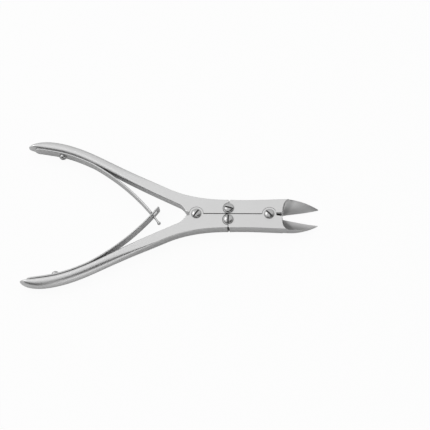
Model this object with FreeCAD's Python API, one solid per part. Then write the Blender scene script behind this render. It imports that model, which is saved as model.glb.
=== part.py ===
import FreeCAD, Part
import math
import os
from FreeCAD import Vector

os.makedirs("parts", exist_ok=True)

# The frame
# Millimetres. The forceps lie on their side: +X runs from the handles to the blade tips, +Y across
# the spread of the handles, +Z up through the screw heads. The origin is on the axis of the rear
# pivot, in the flat underside of the joint block.

# Joint block
block_thickness = 7.5
block_half_width = 9.55
slot_height = 3.0
slit_gap = 0.24
edge_round = 0.5
slit_corner = 0.7
level_tolerance = 1e-6

# Linkage, open
link_x = 20.3
link_y = 3.75
front_pivot_x = 45.75
jaw_open_angle = 9.8
blade_gap_closed = 0.08
handle_stop_margin = 0.3

# Lugs, pins and their clearances
pivot_lug_radius = 4.4
link_lug_radius = 3.6
tongue_radius = 3.4
lug_clearance = 0.1
link_notch_clearance = 0.2
face_clearance = 0.06
pin_radius = 1.6
pin_clearance = 0.05
open_pivot_clearance = 0.09
pin_recess = 0.1

# Pivot screw heads
head_radius = 2.85
head_rim_height = 0.75
head_height = 1.5
head_gap = 0.03
head_slot_width = 0.8
head_slot_depth = 0.8
dome_reach = 0.58
dome_fullness = 0.77
rear_screw_turn = 55.0
front_screw_turn = -45.0
upper_link_screw_turn = -15.0
lower_link_screw_turn = 90.0

# Handles
shank_start_x = -20.0
shank_start_y = 14.05
shank_angle = 25.3
shank_thickness = 6.5
grip_thickness = 6.25
grip_width = 8.8
shank_corner = 0.5
grip_outer_across_share = 0.62
grip_outer_up_share = 0.94
grip_inner_across_share = 0.35
grip_inner_up_share = 0.37
grip_start = 48.0
end_taper = 17.0
end_taper_power = 0.7
end_round = 5.0
end_stations = (0.25, 0.45, 0.62, 0.76, 0.87, 0.94, 0.985)
handle_end_x = -109.0
handle_spread = 46.6
bow_along_shares = (0.11236, 0.2809, 0.52809, 0.67416, 0.80899, 0.92135, 1.0)
bow_out_shares = (0.14593, 0.37481, 0.7235, 0.88786, 0.97849, 1.0, 0.96621)
handle_end_slope = 0.25
crotch_length = 10.4
stop_radius = 6.9
crotch_bulge = 0.35

# Jaws and blades
shoulder_half_width = 10.2
shoulder_x = 56.5
root_inner_x = 53.9
root_outer_x = 60.0
root_overshoot = 0.4
jaw_wall = 2.0
slot_past_pivot = 7.3
waist_sag = 0.45
shoulder_slope = 1.4
tip_x = 75.7
tip_width = 0.35
spine_start_x = 54.75
spine_tip_height = 1.15
land_width = 1.0
land_drop = 0.8
hollow_wheel_radius = 20.0
edge_flat = 0.08
root_fillet = 1.0
underside_step = 0.92
underside_touch_share = 0.63
underside_tip_rise = 0.75
underside_tip_slope = 0.22
blade_stations = (0.05, 0.24, 0.44, 0.63, 0.81, 0.94, 1.0)

# Leaf springs
spring_thickness = 1.1
spring_width = 7.4
spring_seat_gap = 0.05
spring_rear_inset = 4.0
spring_leave = 50.0
spring_kick = 4.0
spring_bend_radius = 140.0
spring_end_corner = 2.8
cross_margin = 2.8
tongue_width = 2.4
tongue_reach = 4.6
ball_radius = 1.3
keeper_reach = 5.2
keeper_slot_width = 3.0
keeper_slot_length = 7.6
keeper_corner = 1.4

# Spring screws
spring_screw_at = 23.5
spring_screw_radius = 1.1
spring_screw_depth = 3.6
spring_head_radius = 2.3
spring_head_rim = 0.7
spring_head_height = 2.4
spring_head_slot_width = 0.6
spring_head_slot_depth = 0.6
spring_screw_turn = 25.0
spring_hole_clearance = 0.1
spring_head_gap = 0.08

# Worked out from the sizes above
plate = (block_thickness - slot_height) / 2
mid_height = block_thickness / 2
slit = slit_gap / 2
beyond = 5.0
fork_back = link_x + slit
handle_front = link_x - slit
handle_arm = math.hypot(link_x, link_y)
handle_arm_angle = math.atan2(link_y, link_x)
jaw_arm = math.hypot(front_pivot_x - link_x, link_y)
jaw_arm_angle = math.atan2(link_y, front_pivot_x - link_x)
beta = math.radians(jaw_open_angle)
alpha = math.asin(jaw_arm * math.sin(jaw_arm_angle + beta) / handle_arm) - handle_arm_angle
stop_angle = alpha + math.radians(handle_stop_margin)


def at(x, y, z=0.0):
    return Vector(x, y, z)


def line(start, end):
    return Part.LineSegment(start, end).toShape()


def bezier(poles):
    curve = Part.BezierCurve()
    curve.setPoles(poles)
    return curve.toShape()


def smooth(points, start_direction=None, end_direction=None):
    curve = Part.BSplineCurve()
    if start_direction is None:
        curve.interpolate(points)
    else:
        curve.interpolate(Points=points, InitialTangent=start_direction, FinalTangent=end_direction)
    return curve.toShape()


def slab(edges, low, high):
    """A plan outline, drawn at height 0, as a plate from low to high."""
    face = Part.Face(Part.Wire(Part.__sortEdges__(edges)))
    face.translate(at(0, 0, low))
    return face.extrude(at(0, 0, high - low))


def disc(x, y, radius, low, high):
    return Part.makeCylinder(radius, high - low, at(x, y, low))


def turned_box(centre, direction, along, across, low, high):
    """A box centred in plan on a point, with its first side along a direction in the plan."""
    box = Part.makeBox(along, across, high - low, at(-along / 2, -across / 2, low))
    turn = math.degrees(math.atan2(direction.y, direction.x))
    box.rotate(at(0, 0), at(0, 0, 1), turn)
    box.translate(at(centre.x, centre.y))
    return box


def lower_half(shape):
    """The upper pieces and the lower ones are mirror images across the centre line."""
    return shape.mirror(at(0, 0), at(0, 1))


def left_of(direction):
    return at(-direction.y, direction.x)


def round_edges(solid, radius, sides):
    """Fillets the edges of a block's top and underside that bound the given sides of its outline."""
    chosen = []
    for edge in solid.Edges:
        box = edge.BoundBox
        level = box.ZLength < level_tolerance
        outside = min(abs(box.ZMin), abs(box.ZMin - block_thickness)) < level_tolerance
        if level and outside:
            for side in sides:
                away = edge.CenterOfMass - side.CenterOfMass
                if math.hypot(away.x, away.y) < 1e-3:
                    chosen.append(edge)
    return solid.makeFillet(radius, chosen)


# The handles
# Each handle is one forging: a lap lug round the rear pivot, a thin tongue that reaches into the fork
# of its jaw, and a long bowed grip that thins to a rounded end.

shank_run = at(-math.cos(math.radians(shank_angle)), math.sin(math.radians(shank_angle)))
shank_start = at(shank_start_x, shank_start_y)
bow_length = handle_end_x - shank_start_x
bow_width = handle_spread - shank_start_y
bow = [
    shank_start + at(bow_length * along, bow_width * out)
    for along, out in zip(bow_along_shares, bow_out_shares)
]
grip_line = smooth([shank_start] + bow, shank_run, at(-1.0, -handle_end_slope))
grip_length = grip_line.Length


def along_grip(distance):
    """The point on the grip's centre line and the direction away from it towards the inner face."""
    parameter = grip_line.getParameterByLength(distance)
    inward = left_of(grip_line.tangentAt(parameter))
    return grip_line.valueAt(parameter), inward.normalize()


def ease(value):
    value = min(max(value, 0.0), 1.0)
    return value * value * (3.0 - 2.0 * value)


def grip_thickness_at(distance):
    blend = ease(distance / grip_start)
    thickness = shank_thickness + (grip_thickness - shank_thickness) * blend
    into_taper = max(0.0, (distance - (grip_length - end_taper)) / end_taper)
    return thickness * (1.0 - into_taper ** 2) ** end_taper_power


def grip_width_at(distance):
    width = block_thickness + (grip_width - block_thickness) * ease(distance / (1.5 * grip_start))
    into_end = max(0.0, (distance - (grip_length - end_round)) / end_round)
    return width * math.sqrt(1.0 - into_end ** 2)


def quarter(start, corner, end):
    """A quarter of an ellipse between two sides that would meet at a corner."""
    curve = Part.BezierCurve()
    curve.setPoles([start, corner, end])
    curve.setWeight(2, math.sqrt(0.5))
    return curve.toShape()


def grip_section(distance):
    """Square to the centre line: flat on the inner side for the spring, and full on the outer side."""
    centre, inward = along_grip(distance)
    thickness = grip_thickness_at(distance)
    half_thick = thickness / 2
    half_wide = grip_width_at(distance) / 2
    blend = ease(distance / grip_start)

    def corner_size(share, full, shank_full):
        start_share = shank_corner / shank_full
        return full * (start_share + (share - start_share) * blend)

    outer_across = corner_size(grip_outer_across_share, thickness, shank_thickness)
    outer_up = corner_size(grip_outer_up_share, half_wide, mid_height)
    inner_across = corner_size(grip_inner_across_share, thickness, shank_thickness)
    inner_up = corner_size(grip_inner_up_share, half_wide, mid_height)

    def spot(sideways, height):
        return centre + inward * sideways + at(0, 0, mid_height + height)

    corners = []
    for side, height, across, up in (
        (1, 1, inner_across, inner_up),
        (-1, 1, outer_across, outer_up),
        (-1, -1, outer_across, outer_up),
        (1, -1, inner_across, inner_up),
    ):
        on_side = spot(side * half_thick, height * (half_wide - up))
        on_flat = spot(side * (half_thick - across), height * half_wide)
        first, last = (on_side, on_flat) if side == height else (on_flat, on_side)
        corners.append(quarter(first, spot(side * half_thick, height * half_wide), last))
    ring = []
    for corner, following in zip(corners, corners[1:] + corners[:1]):
        ring.append(corner)
        ring.append(line(corner.Vertexes[-1].Point, following.Vertexes[0].Point))
    return Part.Wire(ring)


main_steps = 9
main_end = grip_length - end_taper
grip_stations = [main_end * step / main_steps for step in range(main_steps + 1)]
grip_stations.insert(1, 0.3 * grip_stations[1])
grip_stations += [main_end + end_taper * share for share in end_stations]


def make_grip():
    return Part.makeLoft([grip_section(distance) for distance in grip_stations], True, False, False, 3)


def inner_face(distance, gap=0.0):
    """A point on the grip's inner face, or that far off it."""
    centre, inward = along_grip(distance)
    return centre + inward * (grip_thickness_at(distance) / 2 + gap)


def make_handle_block():
    """The front of a handle, from the link to the shank, before its lugs."""
    centre, inward = along_grip(0.0)
    outer_joint = centre - inward * shank_thickness / 2
    inner_joint = centre + inward * shank_thickness / 2
    front_outer = at(handle_front - slit_corner, block_half_width)
    front_side = at(handle_front, block_half_width - slit_corner)
    front_inner = at(handle_front, slit)
    third = (outer_joint - front_outer).Length / 3
    flank = bezier([front_outer, front_outer + at(-third, 0.0), outer_joint - shank_run * third, outer_joint])
    crotch_share = (inner_joint.x + crotch_length) / shank_run.x
    crotch = inner_joint - shank_run * crotch_share
    stop_outer = at(-stop_radius * math.cos(stop_angle), stop_radius * math.sin(stop_angle))
    stop_inner = stop_outer * (0.5 * pivot_lug_radius / stop_radius)
    chord = stop_outer - crotch
    bulge = (crotch + stop_outer) * 0.5 - left_of(chord) * (-crotch_bulge / chord.Length)
    inner_side = line(inner_joint, crotch)
    shoulder = Part.Arc(crotch, bulge, stop_outer).toShape()
    edges = [
        flank,
        line(outer_joint, inner_joint),
        inner_side,
        shoulder,
        line(stop_outer, stop_inner),
        line(stop_inner, at(0, slit)),
        line(at(0, slit), front_inner),
        line(front_inner, front_side),
        line(front_side, front_outer),
    ]
    return round_edges(slab(edges, 0, block_thickness), edge_round, [flank, inner_side, shoulder])


def make_handle(lug_on_top):
    """The upper handle, whose lap lug lies in the lower or in the upper half of the joint."""
    handle = make_handle_block().fuse(make_grip())
    notch_low, notch_high = plate + face_clearance, block_thickness - plate - face_clearance
    for low, high in ((-beyond, notch_low), (notch_high, block_thickness + beyond)):
        handle = handle.cut(disc(link_x, link_y, link_lug_radius + link_notch_clearance, low, high))
    handle = handle.fuse(disc(link_x, link_y, tongue_radius, notch_low, notch_high))
    handle = handle.cut(disc(link_x, link_y, pin_radius + pin_clearance, 0, block_thickness))
    notch_radius = pivot_lug_radius + lug_clearance
    lap = face_clearance / 2
    if lug_on_top:
        handle = handle.cut(disc(0, 0, notch_radius, -beyond, mid_height + lap))
        handle = handle.fuse(disc(0, 0, pivot_lug_radius, mid_height + lap, block_thickness))
        hole = pin_radius + pin_clearance
    else:
        handle = handle.cut(disc(0, 0, notch_radius, mid_height - lap, block_thickness + beyond))
        handle = handle.fuse(disc(0, 0, pivot_lug_radius, 0, mid_height - lap))
        hole = pin_radius
    handle = handle.cut(disc(0, 0, hole, -beyond, block_thickness + beyond))
    inward = along_grip(grip_length - spring_screw_at)[1]
    tapped = inner_face(grip_length - spring_screw_at) - inward * spring_screw_depth
    tapped.z = mid_height
    handle = handle.cut(Part.makeCylinder(spring_screw_radius, spring_screw_depth + beyond, tapped, inward))
    return handle.removeSplitter()


# The jaws
# Each jaw is a forging with a fork at the back for its handle's tongue, a lap lug at the front pivot
# and a hollow-ground blade whose edge lies low, near the underside.

def blade_inner(x):
    """How far out the inner face and the cutting edge lie while the jaws are open."""
    return (blade_gap_closed / 2 + (x - front_pivot_x) * math.sin(beta)) / math.cos(beta)


tip_slope = math.radians(shoulder_slope)
blade_run = tip_x - shoulder_x
blade_fall = shoulder_half_width - blade_inner(tip_x) - tip_width
back_radius = (blade_run ** 2 + blade_fall ** 2) / (
    2.0 * (blade_fall * math.cos(tip_slope) + blade_run * math.sin(tip_slope))
)
back_centre = at(
    shoulder_x + back_radius * math.sin(tip_slope),
    shoulder_half_width - back_radius * math.cos(tip_slope),
)


def blade_back(x):
    """How far out the blade's convex back lies."""
    return back_centre.y + math.sqrt(back_radius ** 2 - (x - back_centre.x) ** 2)


underside_touch = at(shoulder_x + underside_touch_share * blade_run, 0, 0)
underside = smooth(
    [at(root_inner_x, 0, underside_step), underside_touch, at(tip_x, 0, underside_tip_rise)],
    at(1.0, 0, -underside_step / (underside_touch.x - root_inner_x)),
    at(1.0, 0, underside_tip_slope),
)


def underside_at(x):
    upright = line(at(x, 0, -beyond), at(x, 0, beyond))
    return upright.distToShape(underside)[1][0][0].z


def spine_at(x):
    fall = block_thickness - spine_tip_height
    return block_thickness - fall * (x - spine_start_x) / (tip_x - spine_start_x)


def facet_section(x):
    """What the grinding wheel takes off above the blade, at one place along it."""
    back = blade_back(x)
    edge = at(x, blade_inner(x), underside_at(x) + edge_flat)
    share = min(1.0, (back - blade_inner(x)) / (shoulder_half_width - blade_inner(shoulder_x)))
    drop = land_drop * share
    width = land_width * share
    land = at(x, back - width, spine_at(x) - drop)
    spine = at(x, back, spine_at(x))
    outside = spine + at(0, width, drop) * (beyond / land_width / share)
    chord = land - edge
    sag = chord.Length ** 2 / (8.0 * hollow_wheel_radius)
    across = at(0, chord.z, -chord.y).normalize()
    middle = (edge + land) * 0.5 + across * sag
    inside = at(x, -beyond, edge.z)
    ceiling = block_thickness + 3 * beyond
    roof_out = at(x, outside.y, ceiling)
    roof_in = at(x, -beyond, ceiling)
    edges = [
        line(inside, edge),
        Part.Arc(edge, middle, land).toShape(),
        line(land, outside),
        line(outside, roof_out),
        line(roof_out, roof_in),
        line(roof_in, inside),
    ]
    return Part.Wire(edges)


def make_facet_cutter():
    """The wheel's sweep, ended at the root by a wall that curves round into the blade's back."""
    stations = [root_inner_x - root_fillet] + [shoulder_x + blade_run * share for share in blade_stations]
    cutter = Part.makeLoft([facet_section(x) for x in stations], True, False, False, 5)
    rise = shoulder_half_width + root_overshoot
    inner_root = at(root_inner_x, blade_inner(root_inner_x))
    outer_root = at(root_outer_x, rise)
    corner = at(root_inner_x + root_fillet, rise)
    curve = bezier([inner_root, at(root_inner_x, 0.6 * rise), corner, outer_root])
    ceiling = block_thickness + 2 * beyond
    start = at(root_inner_x, -beyond)
    front = [at(root_outer_x, 2 * rise), at(tip_x + beyond, 2 * rise), at(tip_x + beyond, -beyond), start]
    edges = [line(start, inner_root), curve, line(outer_root, front[0])]
    edges += [line(first, last) for first, last in zip(front, front[1:])]
    cutter = cutter.common(slab(edges, -beyond, ceiling))
    wall = curve.extrude(at(0, 0, 3 * beyond))
    wall.translate(at(0, 0, -beyond))
    bottom = []
    for edge in cutter.Edges:
        middle = edge.valueAt((edge.FirstParameter + edge.LastParameter) / 2)
        on_wall = Part.Vertex(middle).distToShape(wall)[0] < 1e-4
        ends = edge.Vertexes[-1].Point - edge.Vertexes[0].Point
        if on_wall and middle.z < block_thickness and math.hypot(ends.x, ends.y) > root_fillet / 2:
            bottom.append(edge)
    return cutter.makeFillet(root_fillet, bottom)


def make_underside_cutter():
    low_start = at(root_inner_x, 0, -beyond)
    low_end = at(tip_x, 0, -beyond)
    edges = [
        underside,
        line(at(tip_x, 0, underside_tip_rise), low_end),
        line(low_end, low_start),
        line(low_start, at(root_inner_x, 0, underside_step)),
    ]
    face = Part.Face(Part.Wire(Part.__sortEdges__(edges)))
    return face.extrude(at(0, 3 * beyond, 0))


def make_jaw_blank():
    """A jaw's outline at full thickness: fork block, shoulder and blade."""
    rear_side = at(fork_back, block_half_width - slit_corner)
    rear_outer = at(fork_back + slit_corner, block_half_width)
    shoulder = at(shoulder_x, shoulder_half_width)
    tip_outer = at(tip_x, blade_back(tip_x))
    tip_inner = at(tip_x, blade_inner(tip_x))
    meet_x = front_pivot_x + (slit * math.cos(beta) - blade_gap_closed / 2) / math.sin(beta)
    third = (shoulder_x - rear_outer.x) / 3
    rise = third * math.sin(tip_slope)
    flank = bezier([
        rear_outer,
        rear_outer + at(third, -waist_sag),
        shoulder + at(-third, -rise),
        shoulder,
    ])
    half_way = (shoulder_x + tip_x) / 2
    back = Part.Arc(shoulder, at(half_way, blade_back(half_way)), tip_outer).toShape()
    edges = [
        line(at(fork_back, slit), rear_side),
        line(rear_side, rear_outer),
        flank,
        back,
        line(tip_outer, tip_inner),
        line(tip_inner, at(meet_x, slit)),
        line(at(meet_x, slit), at(fork_back, slit)),
    ]
    return round_edges(slab(edges, 0, block_thickness), edge_round, [flank])


def make_jaw(hub_on_top):
    """The upper jaw, with a plain lug at the underside, or with a deep hub that fills the slot too."""
    jaw = make_jaw_blank()
    jaw = jaw.cut(make_facet_cutter())
    jaw = jaw.cut(make_underside_cutter())
    jaw = jaw.fuse(disc(link_x, link_y, link_lug_radius, 0, block_thickness))
    slot_end = front_pivot_x + slot_past_pivot
    slot_width = block_half_width - jaw_wall + beyond
    slot = Part.makeBox(slot_end + beyond, slot_width, slot_height, at(-beyond, -beyond, plate))
    jaw = jaw.cut(slot)
    notch_radius = pivot_lug_radius + lug_clearance
    if hub_on_top:
        jaw = jaw.cut(disc(front_pivot_x, 0, notch_radius, -beyond, plate + face_clearance))
        jaw = jaw.fuse(disc(front_pivot_x, 0, pivot_lug_radius, plate + face_clearance, block_thickness))
        hole = pin_radius + open_pivot_clearance
    else:
        jaw = jaw.cut(disc(front_pivot_x, 0, notch_radius, mid_height, block_thickness + beyond))
        jaw = jaw.fuse(disc(front_pivot_x, 0, pivot_lug_radius, 0, plate))
        hole = pin_radius
    jaw = jaw.cut(disc(front_pivot_x, 0, hole, -beyond, block_thickness + beyond))
    jaw = jaw.cut(disc(link_x, link_y, pin_radius, -beyond, plate))
    jaw = jaw.cut(disc(link_x, link_y, pin_radius + pin_clearance, plate, block_thickness + beyond))
    return jaw.removeSplitter()


# The pivot screws
# A slotted round head stands above the joint, and the pin screws into the far lug and ends just
# short of the underside.

def slotted_screw(pin, depth, head, rim_height, height, slot_width, slot_depth):
    """A round-headed screw whose head stands on height 0, with the slot along +X."""
    rim = at(head, 0, rim_height)
    dome = at(dome_reach * head, 0, rim_height + dome_fullness * (height - rim_height))
    corners = [at(0, 0, -depth), at(pin, 0, -depth), at(pin, 0), at(head, 0), rim]
    edges = [line(start, end) for start, end in zip(corners, corners[1:])]
    edges.append(Part.Arc(rim, dome, at(0, 0, height)).toShape())
    edges.append(line(at(0, 0, height), corners[0]))
    screw = Part.Face(Part.Wire(edges)).revolve(at(0, 0), at(0, 0, 1), 360)
    floor = at(-1.5 * head, -slot_width / 2, height - slot_depth)
    return screw.cut(Part.makeBox(3 * head, slot_width, slot_depth + head, floor))


def make_pivot_screw(x, y, turn):
    depth = block_thickness + head_gap - pin_recess
    screw = slotted_screw(
        pin_radius, depth, head_radius, head_rim_height, head_height, head_slot_width, head_slot_depth
    )
    screw.rotate(at(0, 0), at(0, 0, 1), turn)
    screw.translate(at(x, y, block_thickness + head_gap))
    return screw


# The leaf springs
# Each spring lies on the inner face of its grip, held by one screw, and then bends away to the
# centre line. The upper one ends in a narrow tongue with a ball, and the lower one has a slot that
# the tongue passes through, so the two stay hooked together.

seat_start = grip_length - spring_rear_inset
seat_end = spring_leave
seat_margin = 2.0
between = [place for place in grip_stations if seat_end + seat_margin < place < seat_start - seat_margin]
seat_stations = [seat_end] + between + [seat_start]
seat_inward = along_grip(seat_end)[1]
seat_run = left_of(seat_inward)
kick = math.radians(spring_kick)
leave_run = seat_run * math.cos(kick) + seat_inward * math.sin(kick)
leave_inward = seat_inward * math.cos(kick) - seat_run * math.sin(kick)


def on_free_leaf(distance, off=0.0):
    """A point on the curved free leaf, measured from where it leaves the grip, and its direction."""
    start = inner_face(seat_end, spring_seat_gap + spring_thickness / 2)
    turn = distance / spring_bend_radius
    centre = start + leave_inward * spring_bend_radius
    radius = spring_bend_radius - off
    point = centre - leave_inward * (radius * math.cos(turn)) + leave_run * (radius * math.sin(turn))
    direction = leave_run * math.cos(turn) + leave_inward * math.sin(turn)
    return point, direction


def leaf_length_to(height):
    """How far along the free leaf its middle comes down to a height above the centre line."""
    low, high = 0.0, 0.5 * math.pi * spring_bend_radius
    for _ in range(60):
        middle = (low + high) / 2
        if on_free_leaf(middle)[0].y > height:
            low = middle
        else:
            high = middle
    return low


crossing = leaf_length_to(0.0)


def make_leaf(length):
    """A spring strip from its rear end to a length along its free leaf."""
    half = spring_thickness / 2
    far_side = [inner_face(distance, spring_seat_gap) for distance in seat_stations]
    near_side = [inner_face(distance, spring_seat_gap + spring_thickness) for distance in seat_stations]
    leaf_end_far = on_free_leaf(length, -half)[0]
    leaf_end_near = on_free_leaf(length, half)[0]
    far_arc = Part.Arc(far_side[0], on_free_leaf(length / 2, -half)[0], leaf_end_far).toShape()
    near_arc = Part.Arc(near_side[0], on_free_leaf(length / 2, half)[0], leaf_end_near).toShape()
    edges = [
        smooth(far_side),
        far_arc,
        line(leaf_end_far, leaf_end_near),
        near_arc,
        smooth(near_side),
        line(far_side[-1], near_side[-1]),
    ]
    low = mid_height - spring_width / 2
    strip = slab(edges, low, low + spring_width)
    rear = (far_side[-1] + near_side[-1]) * 0.5
    strip = round_leaf_corners(strip, rear, spring_end_corner)
    hole_centre = inner_face(grip_length - spring_screw_at)
    hole_centre.z = mid_height
    inward = along_grip(grip_length - spring_screw_at)[1]
    hole = Part.makeCylinder(spring_screw_radius + spring_hole_clearance, beyond, hole_centre, inward)
    return strip.cut(hole)


def round_leaf_corners(strip, end, radius):
    corners = []
    for edge in strip.Edges:
        middle = edge.CenterOfMass
        near = math.hypot(middle.x - end.x, middle.y - end.y) < 0.1
        if near and abs(edge.Length - spring_thickness) < 0.2 and edge.BoundBox.ZLength < level_tolerance:
            corners.append(edge)
    return strip.makeFillet(radius, corners)


def make_tongue_spring():
    """The upper spring, narrowed at its free end to a tongue that carries a ball."""
    shoulder = crossing - cross_margin
    reach = crossing + tongue_reach
    spring = make_leaf(reach)
    length = reach - shoulder + beyond
    middle, run = on_free_leaf(shoulder + length / 2)
    side = (spring_width - tongue_width) / 2
    floor = mid_height - spring_width / 2
    for low in (floor - beyond, floor + spring_width - side):
        spring = spring.cut(turned_box(middle, run, length, beyond, low, low + side + beyond))
    end = on_free_leaf(reach)[0]
    ball = Part.makeSphere(ball_radius, at(end.x, end.y, mid_height))
    return spring.fuse(ball).removeSplitter()


def make_keeper_spring():
    """The slotted spring, drawn above the centre line like its fellow and then mirrored."""
    reach = crossing + keeper_reach
    spring = round_leaf_corners(make_leaf(reach), on_free_leaf(reach)[0], keeper_corner)
    middle, run = on_free_leaf(crossing)
    across = left_of(run).normalize()
    half_high = keeper_slot_width / 2
    straight = keeper_slot_length - keeper_slot_width
    low = mid_height - half_high
    slot = turned_box(middle, run, straight, beyond, low, low + keeper_slot_width)
    for way in (-1, 1):
        place = middle + run * (way * straight / 2) - across * (beyond / 2)
        place.z = mid_height
        slot = slot.fuse(Part.makeCylinder(half_high, beyond, place, across))
    return lower_half(spring.cut(slot))


def make_spring_screw():
    distance = grip_length - spring_screw_at
    inward = along_grip(distance)[1]
    stand = spring_seat_gap + spring_thickness + spring_head_gap
    screw = slotted_screw(
        spring_screw_radius,
        stand + spring_screw_depth - pin_recess,
        spring_head_radius,
        spring_head_rim,
        spring_head_height,
        spring_head_slot_width,
        spring_head_slot_depth,
    )
    screw.rotate(at(0, 0), at(0, 0, 1), spring_screw_turn)
    seat = inner_face(distance, stand)
    lean = FreeCAD.Placement(at(seat.x, seat.y, mid_height), FreeCAD.Rotation(at(0, 0, 1), inward))
    screw.Placement = lean.multiply(screw.Placement)
    return screw


pieces = {
    "upper_handle": make_handle(False),
    "lower_handle": lower_half(make_handle(True)),
    "upper_jaw": make_jaw(False),
    "lower_jaw": lower_half(make_jaw(True)),
    "rear_pivot_screw": make_pivot_screw(0, 0, rear_screw_turn),
    "front_pivot_screw": make_pivot_screw(front_pivot_x, 0, front_screw_turn),
    "upper_link_screw": make_pivot_screw(link_x, link_y, upper_link_screw_turn),
    "lower_link_screw": make_pivot_screw(link_x, -link_y, lower_link_screw_turn),
    "upper_spring": make_tongue_spring(),
    "lower_spring": make_keeper_spring(),
    "upper_spring_screw": make_spring_screw(),
    "lower_spring_screw": lower_half(make_spring_screw()),
}

print("closing angle of each handle, degrees:", round(math.degrees(alpha), 4))
print("opening angle of each jaw, degrees:", jaw_open_angle)
for name, shape in pieces.items():
    print(name, "valid" if shape.isValid() else "not valid", len(shape.Solids), round(shape.Volume, 1), "mm3")
    shape.exportStep("parts/" + name + ".step")
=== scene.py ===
import math
import bpy
import bmesh
from mathutils import Matrix, Vector
from mathutils.bvhtree import BVHTree


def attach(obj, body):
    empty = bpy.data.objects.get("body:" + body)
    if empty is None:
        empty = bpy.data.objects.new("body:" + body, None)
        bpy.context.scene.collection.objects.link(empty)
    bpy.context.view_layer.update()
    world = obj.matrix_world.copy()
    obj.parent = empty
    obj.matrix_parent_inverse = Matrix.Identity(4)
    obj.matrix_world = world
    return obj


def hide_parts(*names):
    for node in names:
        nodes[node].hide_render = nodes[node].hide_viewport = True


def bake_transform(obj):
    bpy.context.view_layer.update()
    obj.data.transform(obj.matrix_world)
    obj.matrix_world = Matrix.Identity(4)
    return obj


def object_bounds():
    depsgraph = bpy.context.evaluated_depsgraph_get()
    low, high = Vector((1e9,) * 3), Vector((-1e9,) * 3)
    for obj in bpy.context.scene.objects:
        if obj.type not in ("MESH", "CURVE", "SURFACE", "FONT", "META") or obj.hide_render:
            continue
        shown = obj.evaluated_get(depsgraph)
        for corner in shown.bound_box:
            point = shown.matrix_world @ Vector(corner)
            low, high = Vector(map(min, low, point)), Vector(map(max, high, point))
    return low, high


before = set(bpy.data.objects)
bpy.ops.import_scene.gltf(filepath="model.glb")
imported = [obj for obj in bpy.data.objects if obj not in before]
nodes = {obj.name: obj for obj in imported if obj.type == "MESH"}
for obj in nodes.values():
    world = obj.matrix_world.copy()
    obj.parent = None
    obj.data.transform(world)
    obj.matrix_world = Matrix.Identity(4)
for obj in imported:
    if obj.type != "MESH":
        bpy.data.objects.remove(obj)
cad_low, cad_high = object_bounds()
mm = 0.001


# The camera looks down on the forceps from the side of the lower handle, a little to the right of
# square, from far off, so that the two handles look the same size.
tilt = math.radians(22.5)
yaw = math.radians(6.6)
roll = math.radians(-2.81)
camera_distance = 2.5
aim = Vector((11.35, 0.625, 3.75)) * mm
toward = Vector((
    math.sin(yaw) * math.cos(tilt),
    -math.sin(tilt),
    math.cos(tilt) * math.cos(yaw),
)).normalized()
flat_right = Vector((math.cos(yaw), 0.0, -math.sin(yaw)))
flat_right = (flat_right - toward * flat_right.dot(toward)).normalized()
flat_up = toward.cross(flat_right)
right = flat_right * math.cos(roll) - flat_up * math.sin(roll)
up = flat_right * math.sin(roll) + flat_up * math.cos(roll)
camera_place = aim + toward * camera_distance
camera_data = bpy.data.cameras.new("camera")
camera_data.sensor_width = 36.0
camera_data.lens = 334.9
camera_data.clip_start = 0.1
camera_data.clip_end = 20.0
camera = bpy.data.objects.new("camera", camera_data)
bpy.context.scene.collection.objects.link(camera)
camera.matrix_world = Matrix((
    (right.x, up.x, toward.x, camera_place.x),
    (right.y, up.y, toward.y, camera_place.y),
    (right.z, up.z, toward.z, camera_place.z),
    (0.0, 0.0, 0.0, 1.0),
))
bpy.context.scene.camera = camera
bpy.context.scene.view_settings.view_transform = "Standard"


# A white table in a plain studio. Soft light comes from all round, brightest from overhead. Dark
# places round the camera, and one brighter one low down, give the satin steel its grey shades.
def feed(tree, value, socket):
    """Links a node's output to a socket, or sets the socket to a plain value."""
    if isinstance(value, bpy.types.NodeSocket):
        tree.links.new(value, socket)
    else:
        socket.default_value = value


def calc(tree, operation, *values, clamp=False):
    node = tree.nodes.new("ShaderNodeMath")
    node.operation = operation
    node.use_clamp = clamp
    for value, socket in zip(values, node.inputs):
        feed(tree, value, socket)
    return node.outputs[0]


def ease(tree, value, start, end, before, after):
    """A smooth change from one level to another while a value goes from start to end."""
    node = tree.nodes.new("ShaderNodeMapRange")
    node.interpolation_type = "SMOOTHSTEP"
    names = ("Value", "From Min", "From Max", "To Min", "To Max")
    for name, setting in zip(names, (value, start, end, before, after)):
        feed(tree, setting, node.inputs[name])
    return node.outputs["Result"]


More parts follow.
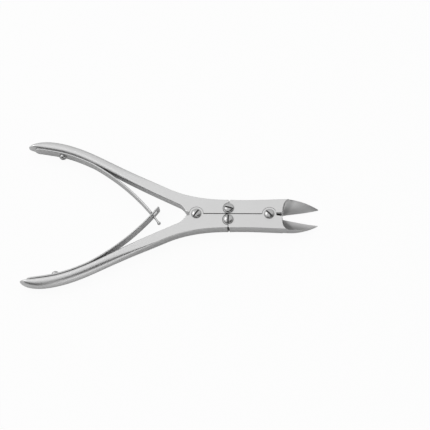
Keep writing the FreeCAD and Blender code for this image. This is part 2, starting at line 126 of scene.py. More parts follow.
def make_world():
    world = bpy.data.worlds.new("studio")
    bpy.context.scene.world = world
    world.use_nodes = True
    tree = world.node_tree
    tree.nodes.clear()
    coords = tree.nodes.new("ShaderNodeTexCoord")
    parts = tree.nodes.new("ShaderNodeSeparateXYZ")
    tree.links.new(coords.outputs["Generated"], parts.inputs[0])
    lean = 0.28
    height = calc(tree, "MULTIPLY_ADD", parts.outputs["Y"], lean, parts.outputs["Z"])
    brightness = ease(tree, height, 0.0, 0.85, 0.92, 1.0)
    for middle, outside, inside, light_left in (
        ((0.44, -0.42, 0.79), 0.87, 0.95, 0.0),
        ((-0.32, -0.87, 0.37), 0.84, 0.94, 0.0),
        ((0.65, -0.30, 0.70), 0.86, 0.95, 0.0),
        ((0.30, -0.93, 0.20), 0.80, 0.95, 1.4),
    ):
        near_place = tree.nodes.new("ShaderNodeVectorMath")
        near_place.operation = "DOT_PRODUCT"
        near_place.inputs[1].default_value = Vector(middle).normalized()
        tree.links.new(coords.outputs["Generated"], near_place.inputs[0])
        level = ease(tree, near_place.outputs["Value"], outside, inside, 1.0, light_left)
        brightness = calc(tree, "MULTIPLY", brightness, level)
    light = tree.nodes.new("ShaderNodeBackground")
    light.inputs["Color"].default_value = (1.0, 1.0, 1.0, 1.0)
    tree.links.new(brightness, light.inputs["Strength"])
    view = tree.nodes.new("ShaderNodeBackground")
    view.inputs["Color"].default_value = (1.0, 1.0, 1.0, 1.0)
    view.inputs["Strength"].default_value = 1.0
    path = tree.nodes.new("ShaderNodeLightPath")
    mix = tree.nodes.new("ShaderNodeMixShader")
    out = tree.nodes.new("ShaderNodeOutputWorld")
    tree.links.new(path.outputs["Is Camera Ray"], mix.inputs[0])
    tree.links.new(light.outputs[0], mix.inputs[1])
    tree.links.new(view.outputs[0], mix.inputs[2])
    tree.links.new(mix.outputs[0], out.inputs["Surface"])


def make_table_white():
    """White paint that the camera sees nearly as bright as the world, with the shadow still on it."""
    camera_share = 0.94
    mirrored_share = 0.12
    material = bpy.data.materials.new("table_white")
    material.use_nodes = True
    tree = material.node_tree
    tree.nodes.clear()
    path = tree.nodes.new("ShaderNodeLightPath")
    mirrored = calc(tree, "MULTIPLY", path.outputs["Is Glossy Ray"], mirrored_share)
    share = calc(tree, "MULTIPLY_ADD", path.outputs["Is Camera Ray"], camera_share, mirrored)
    paint = tree.nodes.new("ShaderNodeBsdfDiffuse")
    paint.inputs["Color"].default_value = (0.76, 0.76, 0.76, 1.0)
    glow = tree.nodes.new("ShaderNodeEmission")
    glow.inputs["Color"].default_value = (1.0, 1.0, 1.0, 1.0)
    glow.inputs["Strength"].default_value = 1.0
    mix = tree.nodes.new("ShaderNodeMixShader")
    out = tree.nodes.new("ShaderNodeOutputMaterial")
    tree.links.new(share, mix.inputs[0])
    tree.links.new(paint.outputs[0], mix.inputs[1])
    tree.links.new(glow.outputs[0], mix.inputs[2])
    tree.links.new(mix.outputs[0], out.inputs["Surface"])
    return material


def make_table():
    half = 3.0
    height = cad_low.z - 0.05 * mm
    corners = [(-half, -half, height), (half, -half, height), (half, half, height), (-half, half, height)]
    mesh = bpy.data.meshes.new("table_top")
    mesh.from_pydata(corners, [], [(0, 1, 2, 3)])
    mesh.materials.append(make_table_white())
    table = bpy.data.objects.new("table_top", mesh)
    bpy.context.scene.collection.objects.link(table)


def make_left_lamp():
    """A large soft lamp beyond the end of the upper handle."""
    data = bpy.data.lights.new("left_lamp", "AREA")
    data.shape = "RECTANGLE"
    data.size = 0.9
    data.size_y = 0.9
    data.energy = 5.0
    lamp = bpy.data.objects.new("left_lamp", data)
    bpy.context.scene.collection.objects.link(lamp)
    place = Vector((-1.0, 0.5, 1.1))
    lamp.location = place
    lamp.rotation_euler = (-place).to_track_quat("-Z", "Y").to_euler()


make_world()
make_table()
make_left_lamp()


# The two handles are each one forging of stainless steel: a flat lap lug at the pivot and a long
# bowed grip, milled, linished round its outer side and blasted with glass beads to a fine satin.
# Every edge that stays sharp in the solid is broken by a stroke of the polishing belt.
link_x = 20.3
link_y = 3.75
front_pivot_x = 45.75
block_thickness = 7.5
block_back_x = -5.2
block_front_x = 49.4


def make_satin_group():
    """The fine even grain that the beads leave, and the faint clouds where they struck more or less."""
    group = bpy.data.node_groups.new("satin_steel_finish", "ShaderNodeTree")
    face = group.interface
    for name, value in (
        ("Grain Scale", 3500.0),
        ("Grain Depth", 0.15),
        ("Cloud Scale", 60.0),
        ("Cloud Amount", 0.06),
        ("Base Roughness", 0.42),
        ("Roughness Spread", 0.08),
    ):
        face.new_socket(name, in_out="INPUT", socket_type="NodeSocketFloat").default_value = value
    face.new_socket("Base Steel", in_out="INPUT", socket_type="NodeSocketColor")
    face.new_socket("Colour", in_out="OUTPUT", socket_type="NodeSocketColor")
    face.new_socket("Roughness", in_out="OUTPUT", socket_type="NodeSocketFloat")
    face.new_socket("Height", in_out="OUTPUT", socket_type="NodeSocketFloat")
    given = group.nodes.new("NodeGroupInput")
    made = group.nodes.new("NodeGroupOutput")
    coords = group.nodes.new("ShaderNodeTexCoord")
    grain = group.nodes.new("ShaderNodeTexNoise")
    grain.inputs["Detail"].default_value = 3.0
    cloud = group.nodes.new("ShaderNodeTexNoise")
    cloud.inputs["Detail"].default_value = 4.0
    for noise, scale in ((grain, "Grain Scale"), (cloud, "Cloud Scale")):
        group.links.new(coords.outputs["Object"], noise.inputs["Vector"])
        group.links.new(given.outputs[scale], noise.inputs["Scale"])
    cloud_centred = calc(group, "SUBTRACT", cloud.outputs["Fac"], 0.5)
    clouded = calc(group, "MULTIPLY_ADD", cloud_centred, given.outputs["Cloud Amount"], 1.0)
    tint = group.nodes.new("ShaderNodeVectorMath")
    tint.operation = "SCALE"
    group.links.new(given.outputs["Base Steel"], tint.inputs[0])
    group.links.new(clouded, tint.inputs["Scale"])
    grain_centred = calc(group, "SUBTRACT", grain.outputs["Fac"], 0.5)
    spread = given.outputs["Roughness Spread"]
    roughness = calc(group, "MULTIPLY_ADD", grain_centred, spread, given.outputs["Base Roughness"])
    height = calc(group, "MULTIPLY", grain.outputs["Fac"], given.outputs["Grain Depth"])
    group.links.new(tint.outputs[0], made.inputs["Colour"])
    group.links.new(roughness, made.inputs["Roughness"])
    group.links.new(height, made.inputs["Height"])
    return group


def make_shading_group():
    """Painted shade in the gaps, slots and ground faces: a mark takes its share of the colour away, and a
    negative one paints light.
    """
    group = bpy.data.node_groups.new("painted_shade_and_light", "ShaderNodeTree")
    face = group.interface
    face.new_socket("Unshaded Colour", in_out="INPUT", socket_type="NodeSocketColor")
    face.new_socket("Mark", in_out="INPUT", socket_type="NodeSocketFloat")
    face.new_socket("Share Taken", in_out="INPUT", socket_type="NodeSocketFloat")
    face.new_socket("Colour", in_out="OUTPUT", socket_type="NodeSocketColor")
    given = group.nodes.new("NodeGroupInput")
    made = group.nodes.new("NodeGroupOutput")
    taken = calc(group, "MULTIPLY", given.outputs["Mark"], given.outputs["Share Taken"])
    kept = calc(group, "SUBTRACT", 1.0, taken)
    dimmed = group.nodes.new("ShaderNodeVectorMath")
    dimmed.operation = "SCALE"
    group.links.new(given.outputs["Unshaded Colour"], dimmed.inputs[0])
    group.links.new(kept, dimmed.inputs["Scale"])
    group.links.new(dimmed.outputs[0], made.inputs["Colour"])
    return group


def make_shadow_ring_group():
    """A painted shadow under each screw head, as a soft dark ring on top of the block."""
    ring_inside = 2.7 * mm
    ring_outside = 3.7 * mm
    top_starts = 7.3 * mm
    group = bpy.data.node_groups.new("painted_shadows_under_heads", "ShaderNodeTree")
    group.interface.new_socket("Mark", in_out="OUTPUT", socket_type="NodeSocketFloat")
    made = group.nodes.new("NodeGroupOutput")
    coords = group.nodes.new("ShaderNodeTexCoord")
    parts = group.nodes.new("ShaderNodeSeparateXYZ")
    flat = group.nodes.new("ShaderNodeCombineXYZ")
    group.links.new(coords.outputs["Object"], parts.inputs[0])
    group.links.new(parts.outputs["X"], flat.inputs["X"])
    group.links.new(parts.outputs["Y"], flat.inputs["Y"])
    mark = 0.0
    for x, y in ((0.0, 0.0), (link_x, link_y), (link_x, -link_y), (front_pivot_x, 0.0)):
        reach = group.nodes.new("ShaderNodeVectorMath")
        reach.operation = "DISTANCE"
        reach.inputs[1].default_value = (x * mm, y * mm, 0.0)
        group.links.new(flat.outputs[0], reach.inputs[0])
        ring = ease(group, reach.outputs["Value"], ring_inside, ring_outside, 1.0, 0.0)
        mark = calc(group, "MAXIMUM", mark, ring)
    on_top = calc(group, "GREATER_THAN", parts.outputs["Z"], top_starts)
    group.links.new(calc(group, "MULTIPLY", mark, on_top), made.inputs["Mark"])
    return group


satin_group = make_satin_group()
shading_group = make_shading_group()
shadow_ring_group = make_shadow_ring_group()


def make_steel(name, grey, roughness, grain_depth=0.15, shading_marks=(), shadow_ring_share=0.0, ground=False):
    """A steel of one grey. The shading marks are pairs of a mesh attribute and the share of colour that
    it takes away as painted shade.
    """
    material = bpy.data.materials.new(name)
    material.use_nodes = True
    tree = material.node_tree
    tree.nodes.clear()
    finish = tree.nodes.new("ShaderNodeGroup")
    finish.node_tree = satin_group
    finish.inputs["Base Steel"].default_value = (grey, grey, grey, 1.0)
    finish.inputs["Base Roughness"].default_value = roughness
    finish.inputs["Grain Depth"].default_value = grain_depth
    marks = []
    for attribute, share in shading_marks:
        mark = tree.nodes.new("ShaderNodeAttribute")
        mark.attribute_name = attribute
        marks.append((mark.outputs["Fac"], share))
    if shadow_ring_share:
        shadow_rings = tree.nodes.new("ShaderNodeGroup")
        shadow_rings.node_tree = shadow_ring_group
        marks.append((shadow_rings.outputs["Mark"], shadow_ring_share))
    colour = finish.outputs["Colour"]
    for mark_output, share in marks:
        shaded = tree.nodes.new("ShaderNodeGroup")
        shaded.node_tree = shading_group
        shaded.inputs["Share Taken"].default_value = share
        tree.links.new(mark_output, shaded.inputs["Mark"])
        tree.links.new(colour, shaded.inputs["Unshaded Colour"])
        colour = shaded.outputs["Colour"]
    height = finish.outputs["Height"]
    if ground:
        height = add_grinding_lines(tree, height)
    bump = tree.nodes.new("ShaderNodeBump")
    bump.inputs["Distance"].default_value = 0.02 * mm
    bump.inputs["Strength"].default_value = 0.4
    shader = tree.nodes.new("ShaderNodeBsdfPrincipled")
    shader.inputs["Metallic"].default_value = 1.0
    out = tree.nodes.new("ShaderNodeOutputMaterial")
    tree.links.new(colour, shader.inputs["Base Color"])
    tree.links.new(finish.outputs["Roughness"], shader.inputs["Roughness"])
    tree.links.new(height, bump.inputs["Height"])
    tree.links.new(bump.outputs["Normal"], shader.inputs["Normal"])
    tree.links.new(shader.outputs[0], out.inputs["Surface"])
    return material


# Painted shade darkens the walls in the joint's gaps, and a painted shadow rings each screw head.
handle_steel = make_steel("handle_steel", 0.6, 0.36, shading_marks=[("gap_shade", 0.95)], shadow_ring_share=0.65)


def beside_gap(place):
    """The long straight gap between the two sides of the joint block, from pivot to pivot."""
    clear_of_pivot = 4.75
    return 5.0 < place.x < front_pivot_x - clear_of_pivot and abs(place.y) < 0.6


def make_plain(piece):
    """Evens out the normals and turns a piece's modifiers into a plain mesh."""
    weighted = piece.modifiers.new("even_normals", "WEIGHTED_NORMAL")
    weighted.keep_sharp = True
    bpy.context.view_layer.update()
    ready = piece.evaluated_get(bpy.context.evaluated_depsgraph_get())
    mesh = bpy.data.meshes.new_from_object(ready)
    mesh.name = piece.name
    piece.modifiers.clear()
    piece.data = mesh


def refined_copy(name, node, material):
    """A copy of a solid's mesh with its flat faces whole again and its sharp outer edges broken."""
    edge_break = 0.2 * mm
    merge_distance = 0.002 * mm
    flat_within = math.radians(0.02)
    sharp_from = math.radians(32.0)
    grip_end_x = -102.0 * mm
    mesh = nodes[node].data.copy()
    mesh.name = name
    mesh.transform(nodes[node].matrix_world)
    form = bmesh.new()
    form.from_mesh(mesh)
    bmesh.ops.remove_doubles(form, verts=form.verts, dist=merge_distance)
    bmesh.ops.dissolve_limit(form, angle_limit=flat_within, verts=form.verts, edges=form.edges)
    bmesh.ops.recalc_face_normals(form, faces=form.faces)
    broken = form.edges.layers.float.new("bevel_weight_edge")
    for edge in form.edges:
        clear_of_end = min(vertex.co.x for vertex in edge.verts) > grip_end_x
        if clear_of_end and edge.is_convex and edge.calc_face_angle(0.0) > sharp_from:
            place = (edge.verts[0].co + edge.verts[1].co) / 2.0 / mm
            edge[broken] = 1.0 if beside_gap(place) else 0.5
    for face in form.faces:
        face.smooth = True
    form.to_mesh(mesh)
    form.free()
    piece = bpy.data.objects.new(name, mesh)
    bpy.context.scene.collection.objects.link(piece)
    bevel = piece.modifiers.new("edge_break", "BEVEL")
    bevel.width = edge_break
    bevel.segments = 2
    bevel.limit_method = "WEIGHT"
    bevel.use_clamp_overlap = False
    make_plain(piece)
    piece.data.materials.clear()
    piece.data.materials.append(material)
    return piece


def mark_faces(mesh, name, test):
    """Writes a face attribute: the test gives each face's value, from its middle and normal."""
    marks = mesh.attributes.new(name, "FLOAT", "FACE")
    values = [float(test(polygon.center / mm, polygon.normal)) for polygon in mesh.polygons]
    marks.data.foreach_set("value", values)


def joint_gap_shade(middle, normal):
    """How much painted shade darkens the narrow walls that face each other across the gaps of the joint
    block.
    """
    level = abs(normal.z) > 0.95
    between_faces = 0.3 < middle.z < block_thickness
    if level or not between_faces:
        return 0.0
    if beside_gap(middle):
        return 1.0
    between_handle_and_jaw = abs(middle.x - link_x) < 0.6
    if between_handle_and_jaw:
        return 0.7
    in_block = block_back_x < middle.x < block_front_x and abs(middle.y) < 8.6
    return 0.4 if in_block else 0.0


for side in ("upper", "lower"):
    handle = refined_copy(side + "_handle_steel", side + "_handle", handle_steel)
    mark_faces(handle.data, "gap_shade", joint_gap_shade)
    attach(handle, side + "_handle")
    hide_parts(side + "_handle")


# The two jaws are forged with the fork that takes the handle's tongue. Their ends are hollow-ground
# on a wheel to the two cutting blades, which leaves fine marks across each ground face.
def add_grinding_lines(tree, height):
    """The wheel's marks, which run across the blade, wherever the mesh is marked as ground."""
    mark = tree.nodes.new("ShaderNodeAttribute")
    mark.attribute_name = "ground"
    coords = tree.nodes.new("ShaderNodeTexCoord")
    stretch = tree.nodes.new("ShaderNodeMapping")
    stretch.inputs["Scale"].default_value = (5200.0, 160.0, 160.0)
    lines = tree.nodes.new("ShaderNodeTexNoise")
    lines.inputs["Scale"].default_value = 1.0
    lines.inputs["Detail"].default_value = 4.0
    tree.links.new(coords.outputs["Object"], stretch.inputs["Vector"])
    tree.links.new(stretch.outputs["Vector"], lines.inputs["Vector"])
    on_ground_faces = calc(tree, "MULTIPLY", lines.outputs["Fac"], mark.outputs["Fac"])
    line_depth = 2.0
    return calc(tree, "MULTIPLY_ADD", on_ground_faces, line_depth, height)


# The blade steel paints shade and light on the ground faces and front gap, shade in the joint's gaps, and
# shadow rings under the screw heads.
blade_steel = make_steel(
    "blade_steel", 0.6, 0.44, shading_marks=[("hollow_shading", 1.0), ("gap_shade", 0.95)], shadow_ring_share=0.65, ground=True,
)


def is_ground(middle, normal):
    """The wheel-ground faces of the blades, which slope down and inward to the cutting edge."""
    on_blade = middle.x > 53.5
    sloping = 0.08 < normal.z < 0.985
    facing_inward = middle.y * normal.y < 0.3
    return on_blade and sloping and facing_inward


def is_front_gap(middle):
    """The walls of the short gap between the jaws, from the front pivot to the heels of the blades."""
    between_faces = 0.3 < middle.z < 7.2
    return block_front_x < middle.x < 56.5 and abs(middle.y) < 3.5 and between_faces


def paint_hollow_shading(mesh, deepest_shading):
    """Painted shade in a ground face's scooped root and in its deep part under the spine, where a
    negative amount paints light instead; painted light on the front gap's walls.
    """
    root_x = 54.4
    root_slant = 0.72
    root_length = 2.6
    root_shade = 0.4
    hollow_width = 4.5
    hollow_power = 1.5
    most_shade = 0.6
    gap_painted_light = -0.6
    heel_from, heel_to = 55.5, 57.5
    tip = max((vertex.co for vertex in mesh.vertices), key=lambda place: place.x) / mm
    near_heel = [vertex.co / mm for vertex in mesh.vertices if heel_from < vertex.co.x / mm < heel_to]
    heel = min(near_heel, key=lambda place: abs(place.y))
    run = Vector((tip.x - heel.x, tip.y - heel.y)).normalized()
    values = []
    for polygon in mesh.polygons:
        middle = polygon.center / mm
        ground = is_ground(middle, polygon.normal)
        # The front gap's walls get painted light.
        plain = gap_painted_light if is_front_gap(middle) else 0.0
        for corner in polygon.vertices:
            place = mesh.vertices[corner].co / mm
            off_edge = abs((place.x - heel.x) * run.y - (place.y - heel.y) * run.x)
            from_root = place.x - (root_x + root_slant * off_edge)
            deep = min(off_edge / hollow_width, 1.0) ** hollow_power
            rooted = max(0.0, min(1.0, 1.0 - from_root / root_length))
            shade_amount = min(deepest_shading * deep + root_shade * rooted, most_shade)
            values.append(shade_amount if ground else plain)
    marks = mesh.attributes.new("hollow_shading", "FLOAT", "CORNER")
    marks.data.foreach_set("value", values)


# The upper blade's hollow gets painted light, the lower one's painted shade.
for side, deepest_shading in (("upper", -0.25), ("lower", 0.4)):
    jaw = refined_copy(side + "_jaw_steel", side + "_jaw", blade_steel)
    mark_faces(jaw.data, "gap_shade", joint_gap_shade)
    mark_faces(jaw.data, "ground", is_ground)
    paint_hollow_shading(jaw.data, deepest_shading)
    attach(jaw, side + "_jaw")
    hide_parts(side + "_jaw")


# The pivot and link screws are turned stainless steel with round heads, polished, and cut with a
# straight slot. They are driven tight by hand, so each slot points its own way.
def make_screw_tree():
    """A screw turned from a flat grid, wound round the axis, with the slot cut out of its head."""
    tree = bpy.data.node_groups.new("slotted_screws", "GeometryNodeTree")
    face = tree.interface
    face.new_socket("Geometry", in_out="INPUT", socket_type="NodeSocketGeometry")
    for name in (
        "Shank Radius", "Shank Length",
        "Head Radius", "Rim Height", "Dome Height",
        "Slot Width", "Slot Depth",
    ):
        face.new_socket(name, in_out="INPUT", socket_type="NodeSocketFloat")
    face.new_socket("Steel", in_out="INPUT", socket_type="NodeSocketMaterial")
    face.new_socket("Geometry", in_out="OUTPUT", socket_type="NodeSocketGeometry")
    given = tree.nodes.new("NodeGroupInput")
    made = tree.nodes.new("NodeGroupOutput")
    shank_radius = given.outputs["Shank Radius"]
    head_radius = given.outputs["Head Radius"]
    slot_width = given.outputs["Slot Width"]
    slot_depth = given.outputs["Slot Depth"]

    def work(operation, *values, clamp=False):
        return calc(tree, operation, *values, clamp=clamp)

    def vector(x, y, z):
        node = tree.nodes.new("ShaderNodeCombineXYZ")
        for value, socket in zip((x, y, z), node.inputs):
            feed(tree, value, socket)
        return node.outputs[0]

    def split_position():
        place = tree.nodes.new("GeometryNodeInputPosition")
        apart = tree.nodes.new("ShaderNodeSeparateXYZ")
        tree.links.new(place.outputs[0], apart.inputs[0])
        return apart.outputs

    # The grid's length is ten stages: foot, shank, underside of the head, rim, and six for the dome.
    around = 72
    stages = 10
    dome_stages = 6
    rows_in_stage = 4
    grid = tree.nodes.new("GeometryNodeMeshGrid")
    grid.inputs["Size X"].default_value = 1.0
    grid.inputs["Size Y"].default_value = 1.0
    grid.inputs["Vertices X"].default_value = around + 1
    grid.inputs["Vertices Y"].default_value = rows_in_stage * stages + 1
    spot = split_position()
    angle = work("MULTIPLY_ADD", spot["X"], 2.0 * math.pi, math.pi)
    along = work("MULTIPLY_ADD", spot["Y"], float(stages), stages / 2.0)
    foot = work("ADD", along, 0.0, clamp=True)
    shank = work("SUBTRACT", along, 1.0, clamp=True)
    under = work("SUBTRACT", along, 2.0, clamp=True)
    rim = work("SUBTRACT", along, 3.0, clamp=True)
    dome = work("DIVIDE", work("SUBTRACT", along, 4.0), float(dome_stages), clamp=True)
    dome_angle = work("MULTIPLY", dome, math.pi / 2.0)
    flange = work("SUBTRACT", head_radius, shank_radius)
    wide = work("MULTIPLY_ADD", under, flange, work("MULTIPLY", foot, shank_radius))
    radius = work("MULTIPLY", wide, work("COSINE", dome_angle))
    low = work("MULTIPLY", work("SUBTRACT", shank, 1.0), given.outputs["Shank Length"])
    high = work("MULTIPLY_ADD", rim, given.outputs["Rim Height"], low)
    height = work("MULTIPLY_ADD", work("SINE", dome_angle), given.outputs["Dome Height"], high)
    turned = tree.nodes.new("GeometryNodeSetPosition")
    tree.links.new(grid.outputs["Mesh"], turned.inputs["Geometry"])
    across = work("MULTIPLY", radius, work("COSINE", angle))
    aside = work("MULTIPLY", radius, work("SINE", angle))
    tree.links.new(vector(across, aside, height), turned.inputs["Position"])
    closed = tree.nodes.new("GeometryNodeMergeByDistance")
    closed.inputs["Distance"].default_value = 0.001 * mm
    tree.links.new(turned.outputs["Geometry"], closed.inputs["Geometry"])

    # The saw that cuts the slot is a box, longer and higher than the head.
    saw = tree.nodes.new("GeometryNodeMeshCube")
    saw_length = work("MULTIPLY", head_radius, 3.0)
    saw_height = work("MULTIPLY", slot_depth, 3.0)
    tree.links.new(vector(saw_length, slot_width, saw_height), saw.inputs["Size"])
    head_top = work("ADD", given.outputs["Rim Height"], given.outputs["Dome Height"])
    slot_floor = work("SUBTRACT", head_top, slot_depth)
    raised = tree.nodes.new("GeometryNodeTransform")
    tree.links.new(saw.outputs["Mesh"], raised.inputs["Geometry"])
    saw_middle = work("MULTIPLY_ADD", saw_height, 0.5, slot_floor)
    tree.links.new(vector(0.0, 0.0, saw_middle), raised.inputs["Translation"])
    slotted = tree.nodes.new("GeometryNodeMeshBoolean")
    slotted.operation = "DIFFERENCE"
    slotted.solver = "EXACT"
    tree.links.new(closed.outputs["Geometry"], slotted.inputs["Mesh 1"])
    tree.links.new(raised.outputs["Geometry"], slotted.inputs["Mesh 2"])

    # The slot's faces are marked, and the screw steel darkens them as painted shade in the slot.
    spot = split_position()
    within = work("LESS_THAN", work("ABSOLUTE", spot["Y"]), work("MULTIPLY", slot_width, 0.505))
    above = work("GREATER_THAN", spot["Z"], work("SUBTRACT", slot_floor, 0.01 * mm))
    marked = tree.nodes.new("GeometryNodeStoreNamedAttribute")
    marked.data_type = "FLOAT"
    marked.domain = "FACE"
    marked.inputs["Name"].default_value = "slot_shade"
    tree.links.new(slotted.outputs["Mesh"], marked.inputs["Geometry"])
    tree.links.new(work("MULTIPLY", within, above), marked.inputs["Value"])
    facing = tree.nodes.new("GeometryNodeInputNamedAttribute")
    facing.data_type = "FLOAT_VECTOR"
    facing.inputs["Name"].default_value = "facing"
    turn = tree.nodes.new("FunctionNodeEulerToRotation")
    tree.links.new(facing.outputs["Attribute"], turn.inputs[0])
    placed = tree.nodes.new("GeometryNodeInstanceOnPoints")
    tree.links.new(given.outputs["Geometry"], placed.inputs["Points"])
    tree.links.new(marked.outputs["Geometry"], placed.inputs["Instance"])
    tree.links.new(turn.outputs[0], placed.inputs["Rotation"])
    real = tree.nodes.new("GeometryNodeRealizeInstances")
    tree.links.new(placed.outputs["Instances"], real.inputs["Geometry"])
    finish = tree.nodes.new("GeometryNodeSetMaterial")
    tree.links.new(real.outputs["Geometry"], finish.inputs["Geometry"])
    tree.links.new(given.outputs["Steel"], finish.inputs["Material"])
    tree.links.new(finish.outputs["Geometry"], made.inputs["Geometry"])
    return tree


screw_tree = make_screw_tree()
# The screw steel darkens its slot as painted shade.
screw_steel = make_steel("screw_steel", 0.43, 0.26, grain_depth=0.05, shading_marks=[("slot_shade", 0.85)])


def make_screw(name, place, facing, sizes):
    """One screw, whose head stands on the given place and faces the given way."""
    mesh = bpy.data.meshes.new(name)
    mesh.from_pydata([place], [], [])
    facings = mesh.attributes.new("facing", "FLOAT_VECTOR", "POINT")
    facings.data[0].vector = facing
    screw = bpy.data.objects.new(name, mesh)
    bpy.context.scene.collection.objects.link(screw)
    build = screw.modifiers.new("slotted_screws", "NODES")
    build.node_group = screw_tree
    items = screw_tree.interface.items_tree
    sockets = {item.name: item.identifier for item in items if item.in_out == "INPUT"}
    for label, value in sizes.items():
        build[sockets[label]] = value
    build[sockets["Steel"]] = screw_steel
    bevel = screw.modifiers.new("edge_break", "BEVEL")
    bevel.width = 0.06 * mm
    bevel.segments = 2
    bevel.limit_method = "ANGLE"
    bevel.angle_limit = math.radians(35.0)
    make_plain(screw)
    for polygon in screw.data.polygons:
        polygon.use_smooth = True
    return screw


head_seat = block_thickness + 0.03
end_recess = 0.1
pivot_screw_sizes = {
    "Shank Radius": 1.6 * mm,
    "Shank Length": (head_seat - end_recess) * mm,
    "Head Radius": 2.85 * mm,
    "Rim Height": 0.45 * mm,
    "Dome Height": 1.05 * mm,
    "Slot Width": 1.0 * mm,
    "Slot Depth": 0.95 * mm,
}
for name, body, x, y, turn in (
    ("rear_pivot_screw", "upper_handle", 0.0, 0.0, 55.0),
    ("upper_link_screw", "upper_jaw", link_x, link_y, -15.0),
    ("lower_link_screw", "lower_jaw", link_x, -link_y, 90.0),
    ("front_pivot_screw", "upper_jaw", front_pivot_x, 0.0, -45.0),
):
    place = (x * mm, y * mm, head_seat * mm)
    screw = make_screw(name + "_turned", place, (0.0, 0.0, math.radians(turn)), pivot_screw_sizes)
    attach(screw, body)
    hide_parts(name)


# The two leaf springs are blanked from hardened strip with rounded edges, bent, and screwed to the
# inner faces of the grips. The ball on the upper one's tongue has passed through the slot in the
# lower one, so that neither can slip off the other.
mid_height = block_thickness / 2.0
leaf_thickness = 1.1
leaf_edge_radius = 0.48
leaf_half_width = 3.7
seat_rear_x = -104.745
seat_front_x = -66.318
bend_radius = 140.0
leave_angle = math.radians(-30.1)
free_length = 58.0
spring_steel = make_steel("spring_steel", 0.56, 0.38)


def find_seat_line():
    """Points along the middle of the solid upper spring's strip, where it lies on the grip."""
    solid = nodes["upper_spring"]
    corners = [solid.matrix_world @ vertex.co / mm for vertex in solid.data.vertices]
    strip = BVHTree.FromPolygons(corners, [tuple(polygon.vertices) for polygon in solid.data.polygons])
    outward = Vector((0.0, 1.0, 0.0))
    above_hole = mid_height + 2.0

    def middle_at(x):
        near = strip.ray_cast(Vector((x, 0.0, above_hole)), outward)[0]
        far = strip.ray_cast(near + outward * 0.1, outward)[0]
        return Vector((x, (near.y + far.y) / 2.0))

    steps = 12
    step = (seat_front_x - seat_rear_x) / steps
    rear = middle_at(seat_rear_x + 1.0) * 2.0 - middle_at(seat_rear_x + 2.0)
    return [rear] + [middle_at(seat_rear_x + number * step) for number in range(1, steps + 1)]


def make_leaf_line():
    """The middle line of the upper spring, as closely set points from its rear end to its free end."""
    seat = find_seat_line()
    outward = Vector((-math.sin(leave_angle), math.cos(leave_angle)))
    centre = seat[-1] - outward * bend_radius
    start_turn = math.atan2(outward.y, outward.x)

    def on_bend(free):
        turn = start_turn - free / bend_radius
        return centre + bend_radius * Vector((math.cos(turn), math.sin(turn)))

    spacing = (seat[-1] - seat[-2]).length
    before = seat[0] * 2.0 - seat[1]
    knots = [before] + seat + [on_bend(spacing)]
    points_between = 30
    line = []
    for first, start, end, last in zip(knots, knots[1:], knots[2:], knots[3:]):
        for number in range(points_between):
            share = number / points_between
            line.append(0.5 * (
                start * 2.0
                + (end - first) * share
                + (first * 2.0 - start * 5.0 + end * 4.0 - last) * share ** 2
                + (start * 3.0 - first - end * 3.0 + last) * share ** 3
            ))
    step = 0.1
    return line + [on_bend(number * step) for number in range(round(free_length / step))]


leaf_line = make_leaf_line()
leaf_reach = [0.0]
for start, end in zip(leaf_line, leaf_line[1:]):
    leaf_reach.append(leaf_reach[-1] + (end - start).length)


def on_leaf(distance):
    """The point that lies a distance from the leaf's rear end, and the leaf's direction there."""
    low, high = 0, len(leaf_reach) - 1
    while high - low > 1:
        middle = (low + high) // 2
        if leaf_reach[middle] > distance:
            high = middle
        else:
            low = middle
    span = leaf_line[low + 1] - leaf_line[low]
    point = leaf_line[low] + span * ((distance - leaf_reach[low]) / span.length)
    return point, span.normalized()


def rounded_outline(corners):
    """A closed outline from (x, y, radius) corners, in millimetres, with each corner rounded."""
    steps = 10
    outline = []
    for number, (x, y, radius) in enumerate(corners):
        corner = Vector((x, y))
        back = (Vector(corners[number - 1][:2]) - corner).normalized()
        ahead = (Vector(corners[(number + 1) % len(corners)][:2]) - corner).normalized()
        half = math.acos(max(-1.0, min(1.0, back.dot(ahead)))) / 2.0
        centre = corner + (back + ahead).normalized() * (radius / math.sin(half))
        first = corner + back * (radius / math.tan(half)) - centre
        sweep = math.pi - 2.0 * half
        way = 1.0 if back.x * ahead.y - back.y * ahead.x < 0.0 else -1.0
        for part in range(steps + 1):
            turn = way * sweep * part / steps
            outline.append(centre + Vector((
                first.x * math.cos(turn) - first.y * math.sin(turn),
                first.x * math.sin(turn) + first.y * math.cos(turn),
            )))
    return outline


def make_blank(name, outline, holes):
    """The flat blank of a spring, as its outline and holes filled and thickened, with rounded edges."""
    blank = bpy.data.curves.new(name, "CURVE")
    blank.dimensions = "2D"
    blank.fill_mode = "BOTH"
    blank.extrude = leaf_thickness / 2.0 - leaf_edge_radius
    blank.bevel_depth = leaf_edge_radius
    blank.bevel_resolution = 3
    blank.offset = -leaf_edge_radius
    for loop in [outline] + holes:
        spline = blank.splines.new("POLY")
        spline.points.add(len(loop) - 1)
        spline.use_cyclic_u = True
        for point, place in zip(spline.points, loop):
            point.co = (place[0], place[1], 0.0, 1.0)
    flat = bpy.data.objects.new(name + "_blank", blank)
    bpy.context.scene.collection.objects.link(flat)
    bpy.context.view_layer.update()
    ready = flat.evaluated_get(bpy.context.evaluated_depsgraph_get())
    mesh = bpy.data.meshes.new_from_object(ready)
    bpy.data.objects.remove(flat)
    mesh.name = name
    return mesh


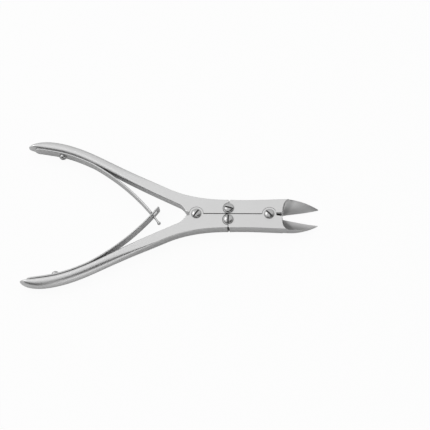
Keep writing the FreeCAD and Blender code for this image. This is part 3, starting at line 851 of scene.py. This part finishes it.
def make_spring(name, outline, holes, way):
    """A spring's blank, sliced across so that it can bend, and bent along the leaf's middle line."""
    mesh = make_blank(name, outline, holes)
    form = bmesh.new()
    form.from_mesh(mesh)
    bmesh.ops.remove_doubles(form, verts=form.verts, dist=0.0005)
    length = max(point[0] for point in outline)
    slice_length = 1.0
    cut = slice_length
    while cut < length - 0.2:
        parts = form.verts[:] + form.edges[:] + form.faces[:]
        bmesh.ops.bisect_plane(
            form, geom=parts, dist=0.0001, plane_co=(cut, 0.0, 0.0), plane_no=(1.0, 0.0, 0.0),
        )
        cut += slice_length
    for vertex in form.verts:
        along, across, off = vertex.co
        point, run = on_leaf(along)
        place = point + Vector((-run.y, run.x)) * off
        vertex.co = (place.x, place.y * way, mid_height + across)
    bmesh.ops.recalc_face_normals(form, faces=form.faces)
    if form.calc_volume(signed=True) < 0.0:
        bmesh.ops.reverse_faces(form, faces=form.faces)
    for vertex in form.verts:
        vertex.co *= mm
    for face in form.faces:
        face.smooth = True
    form.to_mesh(mesh)
    form.free()
    spring = bpy.data.objects.new(name, mesh)
    bpy.context.scene.collection.objects.link(spring)
    mesh.materials.clear()
    mesh.materials.append(spring_steel)
    return spring


def add_ball(spring, distance, radius):
    """The ball on the tongue's end, which keeps it in the other spring's slot."""
    form = bmesh.new()
    form.from_mesh(spring.data)
    place = on_leaf(distance)[0]
    centre = Matrix.Translation((place.x * mm, place.y * mm, mid_height * mm))
    added = bmesh.ops.create_icosphere(form, subdivisions=4, radius=radius * mm, matrix=centre)
    for vertex in added["verts"]:
        for face in vertex.link_faces:
            face.smooth = True
    form.to_mesh(spring.data)
    form.free()


# Places along a leaf are distances from its rear end. The two leaves' middle lines meet at the crossing.
crossing = 91.42
rear_corner = 2.8
tongue_root = crossing - 0.85
tongue_end = crossing + 6.55
tongue_half_width = 1.2
tongue_outline = rounded_outline((
    (0.0, -leaf_half_width, rear_corner),
    (tongue_root, -leaf_half_width, 0.6),
    (tongue_root, -tongue_half_width, 0.4),
    (tongue_end, -tongue_half_width, 0.6),
    (tongue_end, tongue_half_width, 0.6),
    (tongue_root, tongue_half_width, 0.4),
    (tongue_root, leaf_half_width, 0.6),
    (0.0, leaf_half_width, rear_corner),
))
upper_spring = make_spring("upper_spring_leaf", tongue_outline, [], 1.0)
ball_radius = 1.1
add_ball(upper_spring, tongue_end, ball_radius)

keeper_end = crossing + 6.15
keeper_corner = 1.4
keeper_outline = rounded_outline((
    (0.0, -leaf_half_width, rear_corner),
    (keeper_end, -leaf_half_width, keeper_corner),
    (keeper_end, leaf_half_width, keeper_corner),
    (0.0, leaf_half_width, rear_corner),
))
slot_start = crossing - 1.85
slot_end = crossing + 4.55
slot_half_width = 1.5
slot_corner = 1.49
keeper_slot = rounded_outline((
    (slot_start, -slot_half_width, slot_corner),
    (slot_end, -slot_half_width, slot_corner),
    (slot_end, slot_half_width, slot_corner),
    (slot_start, slot_half_width, slot_corner),
))
lower_spring = make_spring("lower_spring_leaf", keeper_outline, [keeper_slot], -1.0)

bend_start_x = -54.577
bend_start_y = 25.52
bend_end_x = -29.9
bend_end_y = 3.0
for spring, side, way in ((upper_spring, "upper", 1.0), (lower_spring, "lower", -1.0)):
    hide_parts(side + "_spring")
    start = (bend_start_x * mm, bend_start_y * mm * way, mid_height * mm)
    end = (bend_end_x * mm, bend_end_y * mm * way, mid_height * mm)
    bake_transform(spring)


# Each spring is held to its grip by one small slotted screw with a high round head, which is driven
# in from the inner side, square to the leaf.
spring_screw_at = 18.33
spring_screw_turn = 25.0
under_head = leaf_thickness / 2.0 + 0.08
spring_screw_sizes = {
    "Shank Radius": 1.1 * mm,
    "Shank Length": 4.73 * mm,
    "Head Radius": 2.3 * mm,
    "Rim Height": 0.7 * mm,
    "Dome Height": 1.7 * mm,
    "Slot Width": 0.6 * mm,
    "Slot Depth": 0.75 * mm,
}
leaf_middle, leaf_run = on_leaf(spring_screw_at)
inward = Vector((leaf_run.y, -leaf_run.x))
seat = leaf_middle + inward * under_head
for side, way in (("upper", 1.0), ("lower", -1.0)):
    axis = Vector((inward.x, inward.y * way, 0.0))
    lean = Vector((0.0, 0.0, 1.0)).rotation_difference(axis).to_matrix()
    facing = (lean @ Matrix.Rotation(math.radians(spring_screw_turn * way), 3, "Z")).to_euler()
    place = (seat.x * mm, seat.y * mm * way, mid_height * mm)
    screw = make_screw(side + "_spring_screw_turned", place, tuple(facing), spring_screw_sizes)
    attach(screw, side + "_handle")
    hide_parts(side + "_spring_screw")
